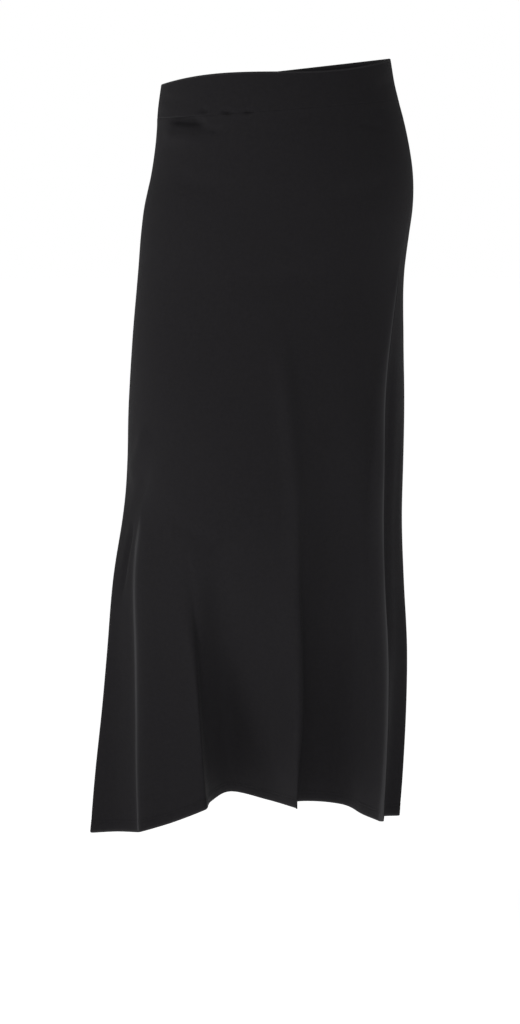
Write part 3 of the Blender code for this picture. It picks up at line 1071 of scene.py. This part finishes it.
@dataclass
class Panel:
    """One panel of the skirt, from side seam to side seam, with its hem turned up."""

    side: Side
    drape: Drape
    creases: tuple[Crease, ...]
    column_width: float
    row_height: float = 6.0
    cloth: float = 1.2
    edge_gap: float = 0.02
    roll: float = 0.16
    roll_width: float = 0.8
    band_step: float = 0.6
    band_step_width: float = 6.0
    cleft: float = 0.06
    cleft_width: float = 0.50
    allowance: float = 7.0
    allowance_lift: float = 0.55
    allowance_edge: float = 2.0
    seam_columns: tuple[float, ...] = (0.35, 0.8, 1.5, 2.6)
    seam_margin: float = 3.4
    length_samples: int = 40
    rows_below_band: tuple[float, ...] = (
        46.0, 40.0, 35.0, 31.0, 27.5, 24.0, 21.0, 18.5, 16.5, 14.5, 12.5, 11.0, 9.5, 8.2, 7.0,
        5.8, 4.8, 3.8, 2.9, 2.1, 1.4, 0.8, 0.3, 0.0,
    )
    # The painted highlight on the side seams' ridges and its painted glow beside them, and painted
    # sheen with some real wear at the hem's fold.
    seam_highlight_line: float = 2.4
    seam_highlight_glow: float = 0.35
    hem_fold_sheen_and_wear: float = 0.5
    hem_fold_sheen_over: float = 2.2
    hem: Hem = field(default_factory=Hem)

    @property
    def name(self) -> str:
        """The panel's name, which is its solid's too, with a word for the shell."""
        return f"{self.side.value}_panel_cloth"

    @property
    def ends(self) -> tuple[float, float]:
        """The places of the panel's two side seams along the hem."""
        if self.side is Side.FRONT:
            return self.drape.left_seam, self.drape.right_seam
        return self.drape.right_seam, self.drape.hem_round

    @property
    def seams(self) -> tuple[Seam, Seam]:
        """The seams at the panel's two ends."""
        return (LEFT_SEAM, RIGHT_SEAM) if self.side is Side.FRONT else (RIGHT_SEAM, LEFT_SEAM)

    def columns(self) -> Array:
        """Places of the columns: every fold line, even steps between, and close at the seams."""
        first, last = self.ends
        stops = [p for p in self.drape.places if first - 0.01 <= p <= last + 0.01]
        columns = [np.array([first])]
        for a, b in zip(stops, stops[1:]):
            count = max(2, round((b - a) / self.column_width))
            columns.append(np.linspace(a, b, count + 1)[1:])
        even = np.concatenate(columns)
        close = np.array(self.seam_columns)
        inner = even[(even > first + self.seam_margin) & (even < last - self.seam_margin)]
        return np.concatenate([[first], first + close, inner, last - close[::-1], [last]])

    def length(self) -> float:
        """The panel's length down its middle, in millimetres."""
        shares = np.linspace(0, 1, self.length_samples)
        line = self.drape.surface(np.full_like(shares, sum(self.ends) / 2), shares)
        return float(np.linalg.norm(np.diff(line, axis=0), axis=1).sum())

    def rows(self) -> tuple[Array, Array]:
        """The rows from the turned-up edge, round the hem's fold, and up to the waistband.

        Returns:
            Millimetres above the hem, and millimetres in from the outer face, for each row.
        """
        radius = self.hem.fold_radius
        turns = np.linspace(math.pi, 0.0, self.hem.fold_steps + 1)
        inside = np.array(self.hem.inside[::-1])
        above = np.array(self.hem.above)
        near_top = self.length() - np.array(self.rows_below_band)
        count = round((near_top[0] - above[-1]) / self.row_height)
        rest = np.linspace(above[-1], near_top[0], count + 1)[1:-1]
        up = np.concatenate([
            inside, radius - radius * np.sin(turns)[1:-1], above, rest, near_top,
        ])
        deep = np.concatenate([
            np.full(len(inside), 2 * radius),
            radius - radius * np.cos(turns)[1:-1],
            np.zeros(len(above) + len(rest) + len(near_top)),
        ])
        return up, deep

    def at_seam(self, place: Array, read: Callable[[Seam], Array | float]) -> Array:
        """What the nearer of the two seams has, at places along the hem.

        Args:
            place: Millimetres along the hem.
            read: Gives a seam's value.

        Returns:
            The nearer seam's value at each place.
        """
        first, last = self.ends
        return np.where(place - first < last - place, *(read(seam) for seam in self.seams))

    def lift(
        self, relief: Relief, smooth: Array, outward: Array, place: Array, above: Array
    ) -> Array:
        """How far the cloth stands out from its smooth face.

        Args:
            relief: The creases to lay on it.
            smooth: Points of the smooth face.
            outward: The face's normals there.
            place: Millimetres along the hem, rows by columns.
            above: Millimetres above the hem, rows by columns.

        Returns:
            Millimetres outwards, rows by columns.
        """
        first, last = self.ends
        from_seam = np.minimum(place - first, last - place)
        height = smooth[:, 2].reshape(place.shape)
        stands = self.at_seam(place, lambda seam: seam.stands(height))
        lift = relief.rise_at(smooth, outward).reshape(place.shape)
        lift = lift * quieted(stands, from_seam) + self.hem.rise_at(above, place)
        rise = stands * self.at_seam(place, lambda seam: seam.rise)
        lift = lift + rise * pinch(from_seam / self.at_seam(place, lambda s: s.width(self.side)))
        if self.side is Side.BACK:
            pressed = smooth_step((self.allowance - from_seam) / self.allowance_edge + 1)
            lift = lift + self.allowance_lift * stands * pressed
        lift -= self.cleft * stands * np.exp(-((from_seam / self.cleft_width) ** 2))
        from_top = np.maximum(self.length() - above, 0.0)
        lift += self.band_step * np.exp(-((from_top / self.band_step_width) ** 2))
        return lift - self.roll * np.exp(-((from_top / self.roll_width) ** 2))

    def highlight_and_wear(self, place: Array, height: Array, above: Array) -> Array:
        """The painted highlight along the seams, and the painted sheen with some real wear at the
        hem's fold.

        Args:
            place: Millimetres along the hem, rows by columns.
            height: The smooth face's height, rows by columns.
            above: Millimetres above the hem, rows by columns.

        Returns:
            Shares from 0 to 1, rows by columns.
        """
        first, last = self.ends
        from_seam = np.minimum(place - first, last - place)
        stands = self.at_seam(place, lambda seam: seam.stands(height))
        lit_and_worn = self.at_seam(place, lambda seam: seam.lit_and_worn(self.side))
        # A seam's painted highlight is brighter in some places than in others, down its whole
        # length.
        uneven = 0.86 + 0.14 * np.sin(height / 31.0 + 1.4 * np.sin(height / 83.0))
        # The seam's painted highlight: a narrow line on its ridge and a wider glow beside it, only
        # where the ridge shows.
        glow = np.exp(-from_seam / self.at_seam(place, lambda seam: seam.glow))
        line = np.exp(-((from_seam / self.seam_highlight_line) ** 2)) + self.seam_highlight_glow * glow
        # Painted sheen with some real wear along the hem's fold.
        fold = self.hem_fold_sheen_and_wear * np.exp(-((above / self.hem_fold_sheen_over) ** 2))
        return np.maximum(stands * lit_and_worn * uneven * line, fold)

    def shape(self, relief: Relief) -> tuple[Array, Array, Array]:
        """The panel's outer face.

        Args:
            relief: The creases to lay on it.

        Returns:
            Its points, cloth coordinates and painted highlight and wear along its edges, rows by
            columns.
        """
        first, last = self.ends
        up, deep = self.rows()
        columns = self.columns()
        place, level = np.meshgrid(columns, np.clip(1 - up / self.length(), 0.0, 1.0))
        above, tuck = np.meshgrid(columns, up)[1], np.meshgrid(columns, deep)[1]
        flat_place, flat_level = place.ravel(), level.ravel()
        smooth = self.drape.surface(flat_place, flat_level)
        inwards, along = self.drape.inwards(flat_place, flat_level)
        outward = unit(-inwards)
        lift = self.lift(relief, smooth, outward, place, above)
        points = smooth + outward * lift.ravel()[:, None]
        turned = (tuck > 0).ravel()
        wall = 2 * self.hem.fold_radius
        inner = self.drape.tucked(flat_place[turned], flat_level[turned], wall)
        points[turned] += (inner - points[turned]) * (tuck.ravel() / wall)[turned, None]
        ends = np.exp(-(flat_place - first)) - np.exp(-(last - flat_place))
        points += along * self.edge_gap * ends[:, None]
        points = points.reshape(*place.shape, 3)
        down = np.where(tuck > self.hem.fold_radius, -above, above)
        cloth = np.stack([arc_lengths(points), down], axis=-1)
        height = smooth[:, 2].reshape(place.shape)
        return points, cloth, self.highlight_and_wear(place, height, above)

    def build(self, material: bpy.types.Material) -> bpy.types.Object:
        """Makes the panel, and puts it in place of its solid.

        Args:
            material: The cloth's finish.

        Returns:
            The panel.
        """
        panel = grid_object(self.name, *self.shape(Relief(self.drape, self.creases)))
        thicken(panel, self.cloth)
        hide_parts(f"{self.side.value}_panel")
        return dress(panel, material)


@dataclass
class Waistband:
    """The waistband: one strip, folded double at its top edge over elastic."""

    drape: Drape
    columns: int = 264
    thickness: float = 3.0
    proud: float = 0.6
    cloth: float = 1.1
    outer_rows: int = 16
    shares_near_seam: tuple[float, ...] = (0.0, 0.012, 0.028, 0.05)
    outer_from: float = 0.09
    fold_steps: int = 8
    inner_rows: int = 10
    roll: float = 0.16
    roll_width: float = 0.8
    seam_gap: float = 0.03
    belly: float = 0.5
    # A painted highlight along the band's lower edge on its left side, where the light falls, and
    # painted sheen with some real wear on its top fold.
    band_highlight_at: float = 290.0
    band_highlight_over: float = 24.0
    band_edge_highlight: float = 0.4
    band_fold_sheen_and_wear: float = 0.3
    row_step: float = 3.0
    sway: float = 0.2

    def profile(self) -> tuple[Array, Array, Array]:
        """The strip's run down inside, over the fold and down outside, from the inner edge up.

        Returns:
            Shares of the band's height, millimetres out and millimetres up, for each row.
        """
        radius = self.thickness / 2
        middle = self.proud - radius
        turns = np.linspace(math.pi, 0.0, self.fold_steps + 1)
        inner = np.linspace(0.0, 1.0, self.inner_rows)[:-1]
        even = np.linspace(self.outer_from, 1.0, self.outer_rows)[:-1]
        outer = np.concatenate([self.shares_near_seam, even])[::-1]
        share = np.concatenate([inner, np.ones(len(turns)), outer])
        out = np.concatenate([
            np.full(len(inner), middle - radius),
            middle + radius * np.cos(turns),
            np.full(len(outer), middle + radius),
        ])
        lift = np.concatenate([
            np.zeros(len(inner)), radius * (np.sin(turns) - 1), np.zeros(len(outer))
        ])
        return share, out, lift

    def build(self, material: bpy.types.Material) -> bpy.types.Object:
        """Makes the waistband, and puts it in place of its solid.

        Args:
            material: The cloth's finish.

        Returns:
            The waistband.
        """
        share, out, lift = self.profile()
        share, out, lift = share[::-1], out[::-1], lift[::-1]
        angles = np.linspace(180.0, 180.0 + FULL_TURN, self.columns + 1)
        angle, portion = np.meshgrid(angles, share)
        low = self.drape.seam_height(angle.ravel()).reshape(angle.shape) + self.seam_gap
        top = self.drape.top_height(angle.ravel()).reshape(angle.shape)
        height = low + (top - low) * portion + lift[:, None]
        smooth, outward = self.drape.around(angle.ravel(), height.ravel())
        relief = Relief(self.drape, BAND_CREASES, on_band=True, sway=self.sway)
        rise = relief.rise_at(smooth, outward).reshape(angle.shape)
        bulge = self.belly * np.sin(math.pi * np.clip(portion, 0, 1)) * np.sign(out)[:, None]
        edge = np.exp(-(((height - low) / self.roll_width) ** 2))
        outside = (out > 0)[:, None]
        away = out[:, None] + rise * (portion < 1) + bulge - self.roll * edge * outside
        points = smooth + outward * away.ravel()[:, None]
        points = points.reshape(*angle.shape, 3)
        run = self.row_step * np.arange(1.0, len(share) + 1)
        cloth = np.stack([arc_lengths(points), np.broadcast_to(run[:, None], angle.shape)], axis=-1)
        # Painted highlight on the band's lower edge, on the side towards the key light, and painted
        # sheen with some real wear on the top fold.
        lit_side = np.exp(-(((angle - self.band_highlight_at) / self.band_highlight_over) ** 2))
        edging = self.band_edge_highlight * lit_side * edge * outside
        highlight_and_wear = np.maximum(self.band_fold_sheen_and_wear * (portion >= 1.0), edging)
        band = grid_object("waistband_cloth", points, cloth, highlight_and_wear)
        close_ring(band)
        thicken(band, self.cloth)
        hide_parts("waistband")
        return dress(band, material)


@dataclass
class StitchRows:
    """The two rows of stitches that hold a panel's hem."""

    panel: Panel
    stitch: float = 2.5
    pitch: float = 3.2
    thread: float = 0.34
    seated: float = 0.05
    clear_of_seam: float = 3.0

    def marks(self, row: float) -> tuple[Array, Array, Array]:
        """Where the stitches of one row lie.

        Args:
            row: The row's height above the hem's fold.

        Returns:
            The stitches' middles, their directions and the cloth's normals.
        """
        drape, panel = self.panel.drape, self.panel
        first, last = panel.ends
        places = np.arange(first + self.clear_of_seam, last - self.clear_of_seam, self.pitch)
        shares = np.full(len(places), 1 - row / panel.length())
        inwards, along = drape.inwards(places, shares)
        outward = unit(-inwards)
        smooth = drape.surface(places, shares)
        lift = Relief(drape, panel.creases).rise_at(smooth, outward)
        from_seam = np.minimum(places - first, last - places)
        lift = lift * quieted(np.ones(len(places)), from_seam)
        lift += panel.hem.rise_at(np.full(len(places), row), places)
        middles = smooth - inwards * (lift + self.seated)[:, None]
        return middles, along, outward

    def build(self, material: bpy.types.Material) -> bpy.types.Object:
        """Makes the stitches as one mesh of copies of a short rounded thread.

        Args:
            material: The thread's finish.

        Returns:
            The stitches.
        """
        name = f"{self.panel.side.value}_hem_stitches"
        mesh = bpy.data.meshes.new(name)
        form = bmesh.new()
        bmesh.ops.create_uvsphere(form, u_segments=6, v_segments=4, radius=0.5)
        shape = np.array([v.co[:] for v in form.verts])
        shape *= (self.thread, self.thread, self.stitch)
        form.to_mesh(mesh)
        points = []
        for row in self.panel.hem.stitch_rows:
            for middle, along, outward in zip(*self.marks(row)):
                across = unit(np.cross(along, outward))
                points.append(middle + shape @ np.stack([across, np.cross(across, along), along]))
        for _ in points[1:]:
            form.from_mesh(mesh)
        form.to_mesh(mesh)
        form.free()
        places = np.concatenate(points) * METRES_PER_MM
        mesh.vertices.foreach_set("co", places.astype(np.float32).ravel())
        mesh.update()
        mesh.shade_smooth()
        return dress(placed(name, mesh), material)


@dataclass
class Allowance:
    """The overlocked edges of a side seam, pressed flat inside the back panel."""

    name: str
    drape: Drape
    seam: Seam
    place: float
    towards: float
    across: tuple[float, ...] = (-0.25, 0.3, 1.5, 3.5, 5.5, 7.0)
    depth: float = 1.55
    thickness: float = 1.9
    rows: int = 150
    start: float = 0.004
    stop: float = 0.978
    least_step: float = 0.2
    length: float = 880.0

    def build(self, material: bpy.types.Material) -> bpy.types.Object:
        """Makes the strip of cloth behind the seam.

        Args:
            material: The cloth's finish.

        Returns:
            The strip.
        """
        across = np.array(self.across) * self.towards
        step, share = np.meshgrid(across, np.linspace(self.stop, self.start, self.rows))
        flat_step, flat_share = step.ravel(), share.ravel()
        place = np.full(share.size, self.place)
        beside = self.drape.surface(place + self.towards, flat_share)
        scale = np.linalg.norm(beside - self.drape.surface(place, flat_share), axis=1)
        place = place + flat_step / np.maximum(scale, self.least_step)
        inwards, _ = self.drape.inwards(place, flat_share)
        smooth = self.drape.surface(place, flat_share)
        lift = Relief(self.drape, BACK_CREASES).rise_at(smooth, unit(-inwards))
        lift *= quieted(self.seam.stands(smooth[:, 2]), np.abs(flat_step))
        points = smooth + inwards * (self.depth - lift)[:, None]
        points = points.reshape(*share.shape, 3)
        if self.towards < 0:
            points = points[:, ::-1]
        cloth = np.stack([arc_lengths(points), -share * self.length], axis=-1)
        strip = grid_object(self.name, points, cloth, np.zeros(share.shape))
        thicken(strip, self.thickness)
        return dress(strip, material)


@dataclass
class BandAllowance:
    """The overlocked edge of the waist seam, hanging inside under the band."""

    drape: Drape
    drops: tuple[float, ...] = (7.0, 4.5, 2.0, 0.0, -1.2)
    ripple: float = 0.35
    ripple_turns: float = 0.9
    depth: float = 1.7
    thickness: float = 1.8
    columns: int = 220

    def build(self, material: bpy.types.Material) -> bpy.types.Object:
        """Makes the strip of cloth inside, under the waistband.

        Args:
            material: The cloth's finish.

        Returns:
            The strip.
        """
        angles = np.linspace(180.0, 180.0 + FULL_TURN, self.columns + 1)
        angle, drop = np.meshgrid(angles, self.drops)
        flat_angle, flat_drop = angle.ravel(), drop.ravel()
        height = self.drape.seam_height(flat_angle) - flat_drop
        smooth, outward = self.drape.around(flat_angle, height)
        hanging = np.clip(flat_drop / self.drops[0], 0, 1)
        ripple = self.ripple * np.sin(flat_angle * self.ripple_turns) * hanging
        lift = Relief(self.drape, FRONT_CREASES + BACK_CREASES).rise_at(smooth, outward)
        inside = self.depth + ripple - np.minimum(lift, 0.0)
        points = (smooth - outward * inside[:, None]).reshape(*angle.shape, 3)
        cloth = np.stack([arc_lengths(points), -drop], axis=-1)
        strip = grid_object("waist_seam_allowance", points, cloth, np.zeros(angle.shape))
        close_ring(strip)
        thicken(strip, self.thickness)
        return dress(strip, material)


@dataclass(frozen=True)
class Lamp:
    """A soft studio light: where it stands, what it faces, its size and its power."""

    name: str
    place: tuple[float, float, float]
    width: float
    height: float
    power: float

    def build(self, target: Vector) -> None:
        """Hangs the light, turned towards the target."""
        data = bpy.data.lights.new(self.name, "AREA")
        data.shape = "RECTANGLE"
        data.size, data.size_y = self.width, self.height
        data.energy = self.power
        lamp = placed(self.name, data)
        lamp.location = self.place
        lamp.rotation_euler = (target - Vector(self.place)).to_track_quat("-Z", "Y").to_euler()


@dataclass
class Studio:
    """The pale floor, the soft lights and the camera at the photograph's angle."""

    floor_height: float = -1.14
    floor_radius: float = 14.0
    surround: float = 0.24
    backdrop: float = 1.0
    floor_glow: float = 0.80
    floor_tone: float = 0.86
    floor_roughness: float = 0.9
    camera_height: float = 7.8
    camera_distance: float = 4.0
    target: tuple[float, float, float] = (-0.020, 0.0, -0.5455)
    lens: float = 112.5
    sensor: float = 36.0
    lamps: tuple[Lamp, ...] = (
        Lamp("key", (-2.8, -2.1, 0.9), 1.2, 1.8, 38.0),
        Lamp("fill", (1.0, -3.4, 0.3), 1.6, 2.4, 2.4),
        Lamp("left rim", (-2.6, 1.2, 0.2), 0.9, 2.4, 1.0),
        Lamp("right rim", (2.6, 1.2, 0.2), 0.9, 2.4, 0.1),
    )

    def build(self) -> None:
        """Sets the stage, the lights and the camera."""
        self.floor()
        self.world()
        target = Vector(self.target)
        for lamp in self.lamps:
            lamp.build(target)
        self.camera(target)
        bpy.context.scene.view_settings.view_transform = "Standard"

    def floor(self) -> None:
        """A round pale floor, well past the camera's view."""
        form = bmesh.new()
        bmesh.ops.create_circle(form, cap_ends=True, segments=96, radius=self.floor_radius)
        bmesh.ops.translate(form, verts=form.verts, vec=(0.0, 0.0, self.floor_height))
        mesh = bpy.data.meshes.new("floor")
        form.to_mesh(mesh)
        form.free()
        paint, wiring, shader = new_material("pale_floor")
        wiring.feed(shader, {
            "Base Color": (self.floor_tone, self.floor_tone, self.floor_tone, 1.0),
            "Roughness": self.floor_roughness,
            "Emission Color": WHITE,
            "Emission Strength": self.floor_glow,
        })
        mesh.materials.append(paint)
        placed("floor", mesh)

    def world(self) -> None:
        """A plain white surround."""
        surround = bpy.data.worlds.new("surround")
        surround.use_nodes = True
        wiring = Wiring(surround.node_tree)
        seen = wiring.add("ShaderNodeLightPath").outputs["Is Camera Ray"]
        brighter = self.backdrop - self.surround
        strength = wiring.math("MULTIPLY_ADD", seen, brighter, self.surround)
        sky = surround.node_tree.nodes["Background"]
        wiring.feed(sky, {"Color": WHITE, "Strength": strength})
        bpy.context.scene.world = surround

    def camera(self, target: Vector) -> None:
        """The camera, a little above the hips and in front.

        Args:
            target: The point that it looks at.
        """
        tilt = math.radians(self.camera_height)
        data = bpy.data.cameras.new("camera")
        data.lens, data.sensor_width = self.lens, self.sensor
        made = placed("camera", data)
        away = Vector((0.0, -math.cos(tilt), math.sin(tilt)))
        made.location = target + away * self.camera_distance
        made.rotation_euler = (math.pi / 2 - tilt, 0.0, 0.0)
        bpy.context.scene.camera = made


@dataclass
class Skirt:
    """The whole skirt: its band, two panels, hems and seams."""

    drape: Drape = field(default_factory=Drape)
    groups: NodeGroups = field(default_factory=NodeGroups)
    jersey: JerseyFinish = JerseyFinish("black_jersey")
    overlock: JerseyFinish = JerseyFinish(
        "overlocked_edge", wale=0.0021, course=0.0009, knit_depth=0.0004, roughness=0.75
    )
    thread: ThreadFinish = ThreadFinish()

    def build(self) -> list[bpy.types.Object]:
        """Makes every piece of the skirt.

        Returns:
            The pieces, in the order in which they were made.
        """
        cloth = self.jersey.material(self.groups)
        edging = self.overlock.material(self.groups)
        thread = self.thread.material()
        band = Waistband(self.drape).build(cloth)
        made = [band]
        panels = (
            Panel(Side.FRONT, self.drape, FRONT_CREASES, column_width=3.7),
            Panel(Side.BACK, self.drape, BACK_CREASES, column_width=4.8),
        )
        for panel in panels:
            shell = panel.build(cloth)
            stitches = StitchRows(panel).build(thread)
            made += [shell, stitches]
        for name, seam, place, towards in (
            ("right_seam_allowance", RIGHT_SEAM, self.drape.right_seam, 1.0),
            ("left_seam_allowance", LEFT_SEAM, self.drape.hem_round, -1.0),
        ):
            made.append(Allowance(name, self.drape, seam, place, towards).build(edging))
        made.append(BandAllowance(self.drape).build(edging))
        return made


def main() -> None:
    """Builds the skirt and its studio, and reports each piece."""
    logging.basicConfig(level=logging.INFO, format="%(name)s: %(message)s")
    Studio().build()
    for piece in Skirt().build():
        LOG.info("%s: %d faces", piece.name, len(piece.data.polygons))


if __name__ == "__main__":
    main()
